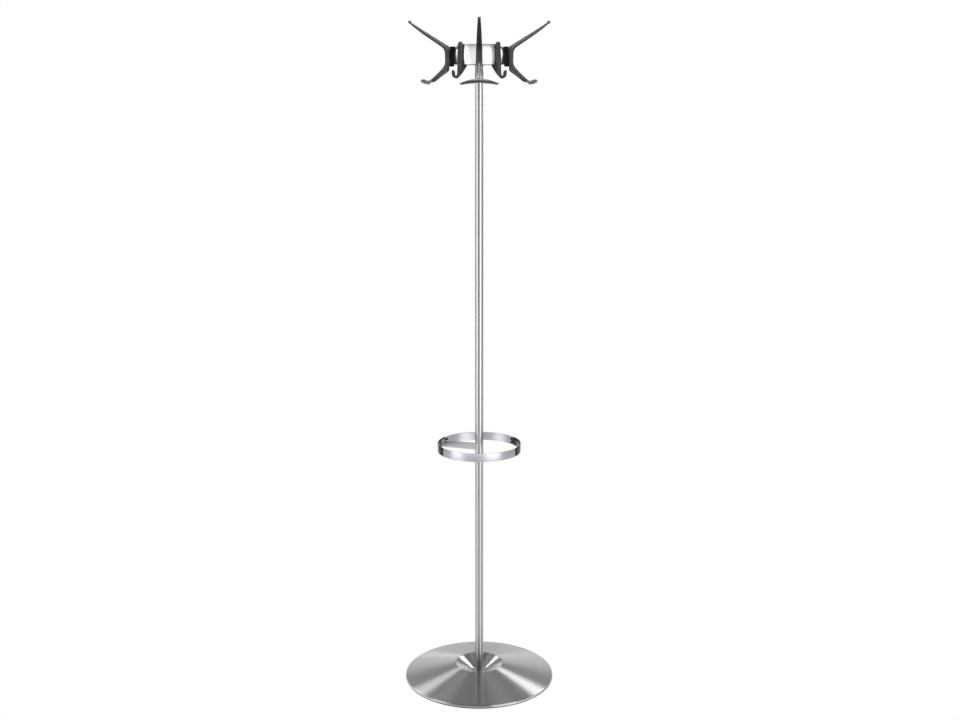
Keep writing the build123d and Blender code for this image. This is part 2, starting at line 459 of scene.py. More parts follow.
# ---------------------------------------------------------------- shader tools
class Wiring:
    """A short way to place and join the nodes of one tree."""

    def __init__(self, tree: bpy.types.NodeTree) -> None:
        """Keep the tree that nodes are placed in."""
        self.tree = tree

    def feed(self, node: bpy.types.Node, values: dict[str | int, Feed]) -> bpy.types.Node:
        """Set a node's inputs.

        Args:
            node: The node.
            values: Input name or index to a value, or to a socket that feeds it.

        Returns:
            The same node.
        """
        for key, value in values.items():
            if isinstance(value, Socket):
                self.tree.links.new(value, node.inputs[key])
            else:
                node.inputs[key].default_value = value
        return node

    def node(self, kind: str, values: dict[str | int, Feed] | None = None,
             **settings: object) -> bpy.types.Node:
        """Place a node.

        Args:
            kind: Blender's name of the node type, without its ShaderNode prefix.
            values: What its inputs get, as in feed.
            **settings: Properties of the node.

        Returns:
            The new node.
        """
        made = self.tree.nodes.new("ShaderNode" + kind)
        for key, value in settings.items():
            setattr(made, key, value)
        return self.feed(made, values or {})

    def sums(self, operation: str, first: Feed, second: Feed = 0.0,
             clamp: bool = False) -> Socket:
        """Place a Math node.

        Args:
            operation: The Math node's operation.
            first: A number or a socket.
            second: A number or a socket.
            clamp: Whether the result is kept from 0 to 1.

        Returns:
            The result's socket.
        """
        values = {0: first, 1: second}
        return self.node("Math", values, operation=operation, use_clamp=clamp).outputs[0]

    def times(self, first: Feed, second: Feed) -> Socket:
        """Multiply two numbers."""
        return self.sums("MULTIPLY", first, second)

    def plus(self, first: Feed, second: Feed) -> Socket:
        """Add two numbers."""
        return self.sums("ADD", first, second)

    def vectors(self, operation: str, first: Feed, second: Feed) -> Socket:
        """Place a Vector Math node and return its result."""
        return self.node("VectorMath", {0: first, 1: second}, operation=operation).outputs[0]

    def weighed(self, first: Socket, second: Socket, share: float) -> Socket:
        """Mix two numbers, the first one by its share."""
        return self.plus(self.times(first, share), self.times(second, 1 - share))

    def spread(self, value: Feed, low: float, high: float, to_low: Feed = 0.0,
               to_high: Feed = 1.0) -> Socket:
        """Map one range of numbers to another, held at its ends.

        Args:
            value: The number to map.
            low: Where its range starts.
            high: Where its range ends.
            to_low: What the start becomes.
            to_high: What the end becomes.

        Returns:
            The result's socket.
        """
        values = {"Value": value, "From Min": low, "From Max": high, "To Min": to_low,
                  "To Max": to_high}
        return self.node("MapRange", values, clamp=True).outputs["Result"]

    def blend(self, share: Feed, first: Feed, second: Feed) -> Socket:
        """Mix two colours; share is how much of the second one there is."""
        values = {0: share, 6: first, 7: second}
        return self.node("Mix", values, data_type="RGBA").outputs[2]

    def noise(self, vector: Socket, scale: Feed, detail: float = 2.0,
              roughness: float = 0.5) -> Socket:
        """Place a noise texture and return its value."""
        values = {"Vector": vector, "Scale": scale, "Detail": detail, "Roughness": roughness}
        return self.node("TexNoise", values).outputs[0]

    def glow(self, kind: str, strength: Feed) -> Socket:
        """Place a white Emission or Background shader and return it."""
        return self.node(kind, {"Color": grey(1.0), "Strength": strength}).outputs[0]

    def white_to_camera(self, kind: str, others: Socket) -> Socket:
        """Show plain white to the camera and a shader to all other rays.

        Args:
            kind: What the white is made of, Emission or Background.
            others: The shader for the other rays.

        Returns:
            The joint shader's socket.
        """
        ray = self.node("LightPath").outputs["Is Camera Ray"]
        return self.node("MixShader", {0: ray, 1: others, 2: self.glow(kind, 1.0)}).outputs[0]


class Group(Wiring):
    """The wiring of one shared effect, with number sockets in and out."""

    def __init__(self, name: str, inputs: dict[str, float]) -> None:
        """Make the group with its inputs.

        Args:
            name: The group's name.
            inputs: Input names with their usual values.
        """
        super().__init__(bpy.data.node_groups.new(name, "ShaderNodeTree"))
        for label, value in inputs.items():
            self.add_socket(label, "INPUT").default_value = value
        self.given = self.tree.nodes.new("NodeGroupInput").outputs
        self.place = self.node("TexCoord").outputs["Object"]

    def add_socket(self, label: str, way: str) -> bpy.types.NodeTreeInterfaceSocket:
        """Add a number socket to the group."""
        return self.tree.interface.new_socket(label, in_out=way, socket_type="NodeSocketFloat")

    def closed(self, **results: Socket) -> bpy.types.NodeTree:
        """Add an output for each result.

        Args:
            **results: The socket that each output shows.

        Returns:
            The group's tree.
        """
        for label in results:
            self.add_socket(label, "OUTPUT")
        self.feed(self.tree.nodes.new("NodeGroupOutput"), results)
        return self.tree


def drawn_grain(name: str) -> bpy.types.NodeTree:
    """Wire fine straight lines along Z, as a belt leaves them.

    Args:
        name: The group's name.

    Returns:
        The group's tree, which puts out Height and Tone.
    """
    group = Group(name, {"Lines": 1800.0, "Run": 14.0})
    lines, run = group.given["Lines"], group.given["Run"]
    scale = group.node("CombineXYZ", {0: lines, 1: lines, 2: run}).outputs[0]
    stretched = group.vectors("MULTIPLY", group.place, scale)
    fine = group.noise(stretched, 1.0, 4.0, 0.6)
    broad = group.noise(stretched, 0.22)
    return group.closed(Height=fine, Tone=group.weighed(fine, broad, 0.5))


def spun_grain(name: str) -> bpy.types.NodeTree:
    """Wire fine circles round Z, as a lathe leaves them.

    Args:
        name: The group's name.

    Returns:
        The group's tree, which puts out Height and Tone.
    """
    group = Group(name, {"Lines": 1800.0})
    x, y, z = group.node("SeparateXYZ", {0: group.place}).outputs
    squares = group.plus(group.sums("POWER", x, 2.0), group.sums("POWER", y, 2.0))
    circle = group.node("CombineXYZ", {0: group.sums("SQRT", squares), 1: 0.0, 2: z}).outputs[0]
    drift = group.times(group.noise(group.place, 22.0), 0.0011)
    moved = group.vectors("ADD", circle, drift)
    fine = group.noise(moved, group.given["Lines"], 3.0, 0.65)
    broad = group.noise(moved, group.times(group.given["Lines"], 0.14))
    return group.closed(Height=fine, Tone=group.weighed(fine, broad, 0.45))


def moulded_skin(name: str) -> bpy.types.NodeTree:
    """Wire the fine pebbled skin of a moulded or cast part.

    Args:
        name: The group's name.

    Returns:
        The group's tree, which puts out Height and Tone.
    """
    group = Group(name, {"Size": 1500.0})
    pebble = group.noise(group.place, group.given["Size"])
    slow = group.noise(group.place, group.times(group.given["Size"], 0.03), 3.0)
    return group.closed(Height=pebble, Tone=group.weighed(pebble, slow, 0.3))


def edge_rub(name: str) -> bpy.types.NodeTree:
    """Wire where corners stand proud and get rubbed.

    Args:
        name: The group's name.

    Returns:
        The group's tree, which puts out Mask.
    """
    group = Group(name, {"Amount": 0.5})
    proud = group.spread(group.node("NewGeometry").outputs["Pointiness"], 0.515, 0.60)
    broken = group.spread(group.noise(group.place, 90.0, 4.0, 0.6), 0.42, 0.62)
    worn = group.times(proud, broken)
    return group.closed(Mask=group.sums("MULTIPLY", worn, group.given["Amount"], clamp=True))


def handling_marks(name: str) -> bpy.types.NodeTree:
    """Wire soft smudges and faint cloth marks left by hands.

    Args:
        name: The group's name.

    Returns:
        The group's tree, which puts out Mask.
    """
    group = Group(name, {"Size": 16.0, "Amount": 1.0})
    size = group.given["Size"]
    smudge = group.spread(group.noise(group.place, size, 5.0, 0.6), 0.45, 0.72)
    streak = group.noise(group.place, group.times(size, 9.0), 2.0, 0.7)
    soiled = group.times(smudge, streak)
    return group.closed(Mask=group.sums("MULTIPLY", soiled, group.given["Amount"], clamp=True))


class Effect(Enum):
    """The effects that several materials share, each one node group."""

    DRAWN_GRAIN = "drawn_grain"
    SPUN_GRAIN = "spun_grain"
    MOULDED_SKIN = "moulded_skin"
    EDGE_RUB = "edge_rub"
    HANDLING = "handling_marks"

    def tree(self) -> bpy.types.NodeTree:
        """Return the effect's node group, and build it the first time."""
        return bpy.data.node_groups.get(self.value) or EFFECT_MAKERS[self](self.value)


EFFECT_MAKERS: dict[Effect, Callable[[str], bpy.types.NodeTree]] = {
    Effect.DRAWN_GRAIN: drawn_grain,
    Effect.SPUN_GRAIN: spun_grain,
    Effect.MOULDED_SKIN: moulded_skin,
    Effect.EDGE_RUB: edge_rub,
    Effect.HANDLING: handling_marks,
}


class Surface(Wiring):
    """A material in the making: the wiring round its one plain shader."""

    def __init__(self, name: str) -> None:
        """Make the material with its plain shader.

        Args:
            name: The material's name.
        """
        self.material = bpy.data.materials.new(name)
        self.material.use_nodes = True
        super().__init__(self.material.node_tree)
        self.shader = self.tree.nodes["Principled BSDF"]

    def effect(self, group: Effect, **values: float) -> bpy.types.bpy_prop_collection:
        """Place a shared effect.

        Args:
            group: The effect.
            **values: Its inputs' values.

        Returns:
            The effect's outputs.
        """
        made = self.tree.nodes.new("ShaderNodeGroup")
        made.node_tree = group.tree()
        return self.feed(made, values).outputs

    def finish(self, values: dict[str, Feed], height: Socket, strength: float,
               depth: float) -> Material:
        """Set the shader's inputs and let a height stand out.

        Args:
            values: What the shader's inputs get.
            height: The height's socket.
            strength: How strongly it shows, from 0 to 1.
            depth: How far it reaches, in metres.

        Returns:
            The finished material.
        """
        bump = self.node("Bump", {"Height": height, "Strength": strength, "Distance": depth})
        self.feed(self.shader, {**values, "Normal": bump.outputs[0]})
        return self.material


def grey(value: float, warm: float = 0.0) -> Colour:
    """A grey with a little warmth."""
    return (value * (1 + warm), value, value * (1 - warm), 1.0)


# ---------------------------------------------------------------- finishes
@dataclass(frozen=True)
class BrushedSteel:
    """Stainless steel with a satin grain in circles round Z."""

    name: str
    light: Colour
    dark: Colour
    roughness: float
    anisotropy: float
    lines: float
    bump: float
    uneven: float = 0.01        # how much the roughness varies to both sides
    dulled: float = 0.05        # how much duller a handled place is
    depth: float = 0.00004

    def material(self) -> Material:
        """Build the finish, with its gloss drawn out across the grain.

        Returns:
            The material.
        """
        made = Surface(self.name)
        grain = made.effect(Effect.SPUN_GRAIN, Lines=self.lines)
        marks = made.effect(Effect.HANDLING, Size=11.0, Amount=0.8)
        rough = made.spread(grain["Tone"], 0.35, 0.65, self.roughness + self.uneven,
                            self.roughness - self.uneven)
        return made.finish({
            "Base Color": made.blend(made.spread(grain["Tone"], 0.38, 0.62), self.dark,
                                     self.light),
            "Roughness": made.plus(rough, made.times(marks["Mask"], self.dulled)),
            "Metallic": 1.0,
            "Anisotropic": self.anisotropy,
            "Anisotropic Rotation": 0.25,
            "Tangent": made.node("Tangent", direction_type="RADIAL", axis="Z").outputs[0],
        }, grain["Height"], self.bump, self.depth)


@dataclass(frozen=True)
class BrightChrome:
    """Bright chrome plate with faint ripples and handling marks."""

    name: str
    roughness: float
    light: Colour = (0.79, 0.78, 0.82, 1.0)
    dark: Colour = (0.72, 0.71, 0.76, 1.0)
    dulled: float = 0.07        # how much duller a handled place is
    ripple: float = 0.03
    depth: float = 0.00002

    def material(self) -> Material:
        """Build the finish.

        Returns:
            The material.
        """
        made = Surface(self.name)
        marks = made.effect(Effect.HANDLING, Size=24.0, Amount=1.0)
        skin = made.effect(Effect.MOULDED_SKIN, Size=420.0)
        return made.finish({
            "Base Color": made.blend(made.spread(skin["Tone"], 0.35, 0.65), self.dark,
                                     self.light),
            "Roughness": made.spread(marks["Mask"], 0.0, 0.6, self.roughness,
                                     self.roughness + self.dulled),
            "Metallic": 1.0,
        }, skin["Height"], self.ripple, self.depth)


@dataclass(frozen=True)
class MouldedPlastic:
    """Moulded plastic or soft rubber with a fine pebbled skin and rubbed corners."""

    name: str
    colour: Colour
    roughness: float
    specular: float
    rubbed: Colour = (0.075, 0.075, 0.082, 1.0)
    pebble: float = 1500.0
    bump: float = 0.08
    shade: float = 0.78         # brightness of the skin's low parts, as a share of the colour
    uneven: float = 0.03        # how much the roughness varies to both sides
    dulled: float = 0.10        # how much duller a handled place is
    depth: float = 0.00006

    def material(self) -> Material:
        """Build the finish.

        Returns:
            The material.
        """
        made = Surface(self.name)
        skin = made.effect(Effect.MOULDED_SKIN, Size=self.pebble)
        rub = made.effect(Effect.EDGE_RUB, Amount=0.55)
        marks = made.effect(Effect.HANDLING, Size=30.0, Amount=1.0)
        deep = (*(part * self.shade for part in self.colour[:3]), 1.0)
        body = made.blend(made.spread(skin["Tone"], 0.36, 0.64), deep, self.colour)
        rough = made.spread(skin["Tone"], 0.35, 0.65, self.roughness + self.uneven,
                            self.roughness - self.uneven)
        return made.finish({
            "Base Color": made.blend(rub["Mask"], body, self.rubbed),
            "Roughness": made.plus(rough, made.times(marks["Mask"], self.dulled)),
            "Specular IOR Level": self.specular,
        }, skin["Height"], self.bump, self.depth)


@dataclass(frozen=True)
class CastIron:
    """A rough iron casting under thin black paint, bare where the paint is rubbed off."""

    name: str
    low_paint: Colour = (0.020, 0.020, 0.021, 1.0)
    high_paint: Colour = (0.046, 0.045, 0.044, 1.0)
    bare: Colour = (0.24, 0.22, 0.20, 1.0)
    bump: float = 0.6
    depth: float = 0.0004

    def material(self) -> Material:
        """Build the finish.

        Returns:
            The material.
        """
        made = Surface(self.name)
        coarse = made.effect(Effect.MOULDED_SKIN, Size=320.0)
        rub = made.effect(Effect.EDGE_RUB, Amount=0.9)
        paint = made.blend(made.spread(coarse["Tone"], 0.35, 0.65), self.low_paint,
                           self.high_paint)
        return made.finish({
            "Base Color": made.blend(rub["Mask"], paint, self.bare),
            "Roughness": made.spread(coarse["Tone"], 0.3, 0.7, 0.72, 0.55),
            "Metallic": rub["Mask"],
        }, coarse["Height"], self.bump, self.depth)


@dataclass(frozen=True)
class ZincPlate:
    """Zinc plated steel with a pale cloudy spangle and turning marks."""

    name: str
    dark: Colour = (0.46, 0.47, 0.50, 1.0)
    light: Colour = (0.64, 0.65, 0.66, 1.0)
    rubbed: Colour = (0.80, 0.80, 0.80, 1.0)
    bump: float = 0.2
    depth: float = 0.00005

    def material(self) -> Material:
        """Build the finish.

        Returns:
            The material.
        """
        made = Surface(self.name)
        cloud = made.effect(Effect.MOULDED_SKIN, Size=700.0)
        turning = made.effect(Effect.DRAWN_GRAIN, Lines=400.0, Run=2600.0)
        rub = made.effect(Effect.EDGE_RUB, Amount=0.7)
        body = made.blend(made.spread(cloud["Tone"], 0.36, 0.64), self.dark, self.light)
        return made.finish({
            "Base Color": made.blend(rub["Mask"], body, self.rubbed),
            "Roughness": made.spread(turning["Tone"], 0.35, 0.65, 0.42, 0.28),
            "Metallic": 1.0,
        }, turning["Height"], self.bump, self.depth)


# ---------------------------------------------------------------- sub-assemblies
@dataclass
class Foot:
    """The round foot: spun cover with its funnel, weight, edge ring, bolt and washer."""

    frame: dict
    lip_radius: float = 63.0
    lip_height: float = 38.0
    lip_round: float = 6.0
    rim_height: float = 8.5
    rim_round: float = 3.0
    floor_radius: float = 22.0
    floor_height: float = 14.8
    floor_round: float = 5.0
    bolt_hole: float = 5.5
    sheet: float = 1.5

    def cover(self) -> Piece:
        """Spin the cover from one bent sheet.

        Returns:
            The new object.
        """
        low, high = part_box("base_cover")
        radius, foot = high.x / MM, low.z / MM
        face = rounded_outline([
            (self.bolt_hole, self.floor_height, 0),
            (self.floor_radius, self.floor_height, self.floor_round),
            (self.lip_radius, self.lip_height, self.lip_round),
            (radius, self.rim_height, self.rim_round),
            (radius, foot, 0),
        ], steps=12, guard=0.8, closed=False)
        return revolved("base_cover_spun", sheet_outline(face, self.sheet), segments=360)

    def build(self) -> None:
        """Make the cover and dress what lies under it."""
        steel = BrushedSteel("brushed_cover", light=grey(0.80, 0.006), dark=grey(0.76, 0.006),
                             roughness=0.30, anisotropy=1.0, lines=2600.0, bump=0.02).material()
        install(self.cover(), steel, "base_cover")
        dress_node(self.frame, "base_weight", CastIron("cast_weight").material())
        rubber = MouldedPlastic("black_rubber", colour=(0.018, 0.018, 0.018, 1.0),
                                roughness=0.62, specular=0.3, pebble=700.0, bump=0.3).material()
        dress_node(self.frame, "floor_ring", rubber)


@dataclass
class Pole:
    """The two pole tubes, with a fine satin grain round them."""

    end_round: float = 0.5
    wall: float = 1.5

    def tube(self, node: str) -> Piece:
        """Make one tube with softly broken ends.

        Args:
            node: The tube's node.

        Returns:
            The new object.
        """
        low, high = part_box(node)
        radius = high.x / MM
        outline = rounded_box((radius - self.wall, radius), (low.z / MM, high.z / MM),
                              self.end_round, steps=3, guard=0.3)
        return revolved(f"{node}_drawn", outline, segments=96)

    def build(self) -> None:
        """Make both tubes."""
        steel = BrushedSteel("brushed_tube", light=grey(0.70, 0.010), dark=grey(0.66, 0.010),
                             roughness=0.19, anisotropy=0.95, lines=2200.0,
                             bump=0.008).material()
        for node in ("pole_lower", "pole_upper"):
            install(self.tube(node), steel, node)


@dataclass
class UmbrellaRing:
    """The ring: two chrome arcs, two black joints and a flat bar."""

    strip: float = 3.0
    crown: float = 0.5          # how far the outer face falls back at its edges
    edge: float = 0.7
    joint_half_angle: float = 32.0
    tongue_angle: float = 5.0
    tongue_thick: float = 2.5
    tongue_trim: float = 3.0
    bar_angle: float = 162.0
    bar_thick: float = 4.0
    bar_height: float = 18.0
    bar_sink: Point = (0.6, 0.8)            # how far its ends run into the pole and the tab
    bar_edges: Point = (0.8, 0.6)           # corner radius of the bar and of the tab
    tab_thick: float = 2.5
    tab_length: float = 20.0
    play: float = 0.02                      # gap between pieces that lie on each other
    radius: float = field(init=False)
    low: float = field(init=False)
    high: float = field(init=False)

    def __post_init__(self) -> None:
        """Read the ring's place from the frame."""
        bottom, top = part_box("ring_front_arc")
        self.radius = -bottom.y / MM
        self.low, self.high = bottom.z / MM, top.z / MM

    def strip_section(self) -> list[Point]:
        """Draw the strip's section, with a crowned outer face and soft edges.

        Returns:
            The closed section.
        """
        middle, reach = (self.low + self.high) / 2, (self.high - self.low) / 2
        inner, outer = self.radius - self.strip, self.radius - self.crown - 0.1
        face = []
        for step in range(1, 12):
            share = -1 + step / 6
            face.append((self.radius - self.crown * share ** 2, middle + 0.96 * reach * share, 0))
        return rounded_outline([
            (inner, self.low, self.edge), (outer, self.low, self.edge * 0.6), *face,
            (outer, self.high, self.edge * 0.6), (inner, self.high, self.edge),
        ], steps=4, guard=0.05)

    def joint_section(self, angle: float) -> list[Point]:
        """Draw the joint's section: its face with the tongue behind, or the tongue alone.

        Args:
            angle: The place along the joint, in degrees from its middle.

        Returns:
            The closed section.
        """
        inner = self.radius - self.strip
        tongue = inner - self.tongue_thick
        low, high = self.low + self.tongue_trim, self.high - self.tongue_trim
        if abs(angle) > self.joint_half_angle:
            face = [(inner + self.play, min(max(height, low), high))
                    for _, height in self.strip_section()]
        else:
            face = [(max(across, inner), height) for across, height in self.strip_section()]
        return face + [(inner, high), (tongue + 0.5, high), (tongue, high - 0.5),
                       (tongue, low + 0.5), (tongue + 0.5, low), (inner, low)]

    def bar(self) -> Piece:
        """Make the flat bar from the pole to its bent tab.

        Returns:
            The bar with its tab.
        """
        middle, half_height = (self.low + self.high) / 2, self.bar_height / 2
        tongue = self.radius - self.strip - self.tongue_thick
        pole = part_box("pole_upper")[1].x / MM
        flat = rounded_box((-self.bar_thick / 2, self.bar_thick / 2),
                           (middle - half_height, middle + half_height),
                           self.bar_edges[0], steps=4, guard=0.05)
        web = lofted("ring_bar_formed", [
            [Vector((along, across, height)) for across, height in flat]
            for along in (pole - self.bar_sink[0], tongue - self.tab_thick + self.bar_sink[1])])
        trim = (self.high - self.low - self.bar_height) / 2
        outline = rounded_box((tongue - self.tab_thick, tongue - self.play),
                              (self.low + trim, self.high - trim),
                              self.bar_edges[1], steps=4, guard=0.05)
        half = math.degrees(self.tab_length / 2 / tongue)
        unite(web, swept_arc("tab", (-half, half), lambda angle: outline))
        web.data.transform(Matrix.Rotation(math.radians(self.bar_angle), 4, "Z"))
        return web

    def build(self) -> None:
        """Make the ring's pieces."""
        chrome = BrightChrome("chrome_ring", roughness=0.30).material()
        half = self.joint_half_angle
        section = self.strip_section()
        for node, start, end in (("ring_front_arc", 180 + half, 360 - half),
                                 ("ring_rear_arc", half, 180 - half)):
            arc = swept_arc(f"{node}_plated", (start, end), lambda angle: section)
            add_bevel(arc, 0.35, segments=3)
            install(arc, chrome, node)
        black = MouldedPlastic("black_joint", colour=(0.012, 0.012, 0.013, 1.0), roughness=0.14,
                               specular=0.30, pebble=1800.0, bump=0.04).material()
        reach = half + self.tongue_angle
        joint = swept_arc("joint_form", (-reach, reach), self.joint_section, (-half, half))
        for node, angle in (("ring_joint_right", 0.0), ("ring_joint_left", 180.0)):
            copy = turned_copy(joint, f"{node}_moulded", angle)
            add_bevel(copy, 0.25, segments=2)
            install(copy, black, node)
        bpy.data.objects.remove(joint)
        install(self.bar(), chrome, "ring_bar")


@dataclass
class Head:
    """The drum head: chrome shell, caps and hub."""

    frame: dict
    middle_radius: float = 62.8
    edge_radius: float = 60.5
    inner_radius: float = 58.5
    roll: float = 0.85
    cap_sheet: float = 2.0
    cap_play: float = 0.05
    lid_thick: float = 3.0
    lid_dish: float = 1.1
    skirt: float = 4.0
    bottom: float = field(init=False)
    top: float = field(init=False)

    def __post_init__(self) -> None:
        """Read the drum's place from the frame."""
        low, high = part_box("drum_shell")
        self.bottom, self.top = low.z / MM, high.z / MM

    def barrel(self, height: float) -> float:
        """Find the drum's outer radius at a height.

        Args:
            height: The height.

        Returns:
            The radius.
        """
        reach = (self.top - self.bottom) / 2
        share = (height - self.bottom - reach) / reach
        return self.edge_radius + (self.middle_radius - self.edge_radius) * (1 - min(share ** 2, 1))

    def shell(self) -> Piece:
        """Spin the barrel-shaped shell with rolled edges.

        Returns:
            The new object.
        """
        rows = 24
        heights = [self.bottom + (self.top - self.bottom) * row / rows for row in range(1, rows)]
        outline = rounded_outline([
            (self.inner_radius, self.bottom, self.roll), (self.edge_radius, self.bottom, self.roll),
            *((self.barrel(height), height, 0) for height in heights),
            (self.edge_radius, self.top, self.roll), (self.inner_radius, self.top, self.roll),
        ], steps=6, guard=0.05)
        return revolved("drum_shell_plated", outline, segments=256)

    def top_cap(self) -> Piece:
        """Spin the lid: a shallow dish inside a raised edge, with a press-in skirt below.

        Returns:
            The new object.
        """
        dish, under, hem = (self.top - drop for drop in (
            self.lid_dish, self.lid_thick, self.lid_thick + self.skirt))
        radius = self.inner_radius - self.cap_play
        outline = rounded_outline([
            (0, dish, 0), (46.0, dish, 3.0), (49.5, self.top, 1.2), (radius, self.top, 0.8),
            (radius, under, 0.3), (54.5, under, 0.3), (54.5, hem, 0.4), (52.5, hem, 0.4),
            (52.5, under, 0.3), (0, under, 0),
        ], steps=5, guard=0.1, closed=False)
        return revolved("drum_top_cap_moulded", outline, closed=False)

    def bottom_cap(self) -> Piece:
        """Spin the disc that closes the drum round the pole.

        Returns:
            The new object.
        """
        bottom, step, upper = self.bottom, self.bottom + 0.7, self.bottom + self.cap_sheet
        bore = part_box("pole_upper")[1].x / MM + self.cap_play
        radius = self.inner_radius - self.cap_play
        outline = rounded_outline([
            (bore, bottom, 0.5), (16.0, bottom, 0.6), (17.0, step, 0.6), (53.0, step, 0.6),
            (54.5, bottom, 0.6), (radius, bottom, 0.6), (radius, upper, 0.4), (bore, upper, 0.4),
        ], steps=4, guard=0.05)
        return revolved("drum_bottom_cap_moulded", outline)

    def build(self) -> None:
        """Make the shell and caps and dress the hub."""
        chrome = BrightChrome("chrome_drum", light=(0.86, 0.86, 0.90, 1.0),
                              dark=(0.83, 0.83, 0.87, 1.0), roughness=0.24).material()
        black = MouldedPlastic("black_cap", colour=(0.022, 0.022, 0.024, 1.0), roughness=0.42,
                               specular=0.45, pebble=1100.0, bump=0.2).material()
        install(self.shell(), chrome, "drum_shell")
        install(self.top_cap(), black, "drum_top_cap")
        install(self.bottom_cap(), black, "drum_bottom_cap")
        dress_node(self.frame, "head_hub", black)


def bar_section(half_width: float, half_deep: float, round_share: float, channel: float,
                groove: float) -> list[Point]:
    """Draw a moulded arm's section, always with as many points.

    Args:
        half_width: Half of the arm's width.
        half_deep: Half of its depth, back to front.
        round_share: Corner radius as a share of the smaller half.
        channel: Depth of the hollow along the front face.
        groove: Depth of the groove along each side, nearer the back.

    Returns:
        The closed section of (sideways, outward) points about (0, 0).
    """
    radius = min(half_width, half_deep) * round_share
    corners = ((1, -1, -90.0), (1, 1, 0.0), (-1, 1, 90.0), (-1, -1, 180.0))
    runs = 14

    def on_arc(corner: Corner, past: float) -> Vector:
        """Find a point on a corner's arc.

        Args:
            corner: The corner's side, front and first angle.
            past: How many degrees past the first angle the point is.

        Returns:
            The point.
        """
        side, front, start = corner
        middle = Vector((side * (half_width - radius), front * (half_deep - radius)))
        turn = math.radians(start + past)
        return middle + radius * Vector((math.cos(turn), math.sin(turn)))

    outline: list[Vector] = []
    for corner, following in zip(corners, corners[1:] + corners[:1]):
        outline += [on_arc(corner, 15.0 * step) for step in range(7)]
        last, target = outline[-1], on_arc(following, 0.0)
        outline += [last.lerp(target, step / runs) for step in range(1, runs)]
    shaped = []
    for across, out in outline:
        beside = across / (CHANNEL_WIDTH * half_width)
        hollow = max(0.0, 1 - beside ** 2) if out > 0.3 * half_deep else 0.0
        past = (out - GROOVE_PLACE * half_deep) / (GROOVE_REACH * half_deep)
        notch = max(0.0, 1 - past ** 2) if abs(across) > 0.8 * half_width else 0.0
        shaped.append((across - math.copysign(groove * notch, across),
                       out - channel * hollow ** 0.6))
    return shaped


def arm_shell(stations: Sequence[Sequence[float]]) -> Piece:
    """Loft a moulded arm through stations in its radial plane.

    Args:
        stations: Rows of back radius, back height, front radius, front height, half width,
            corner share, channel depth and groove depth.

    Returns:
        The closed shell.
    """
    rings = []
    for row in catmull(stations, 4):
        back, front = Vector(row[0:2]), Vector(row[2:4])
        middle, outward = (back + front) / 2, (front - back).normalized()
        section = bar_section(row[4], (front - back).length / 2, row[5], max(row[6], 0),
                              max(row[7], 0))
        rings.append([Vector((middle.x + outward.x * out, across, middle.y + outward.y * out))
                      for across, out in section])
    return lofted("arm", rings)


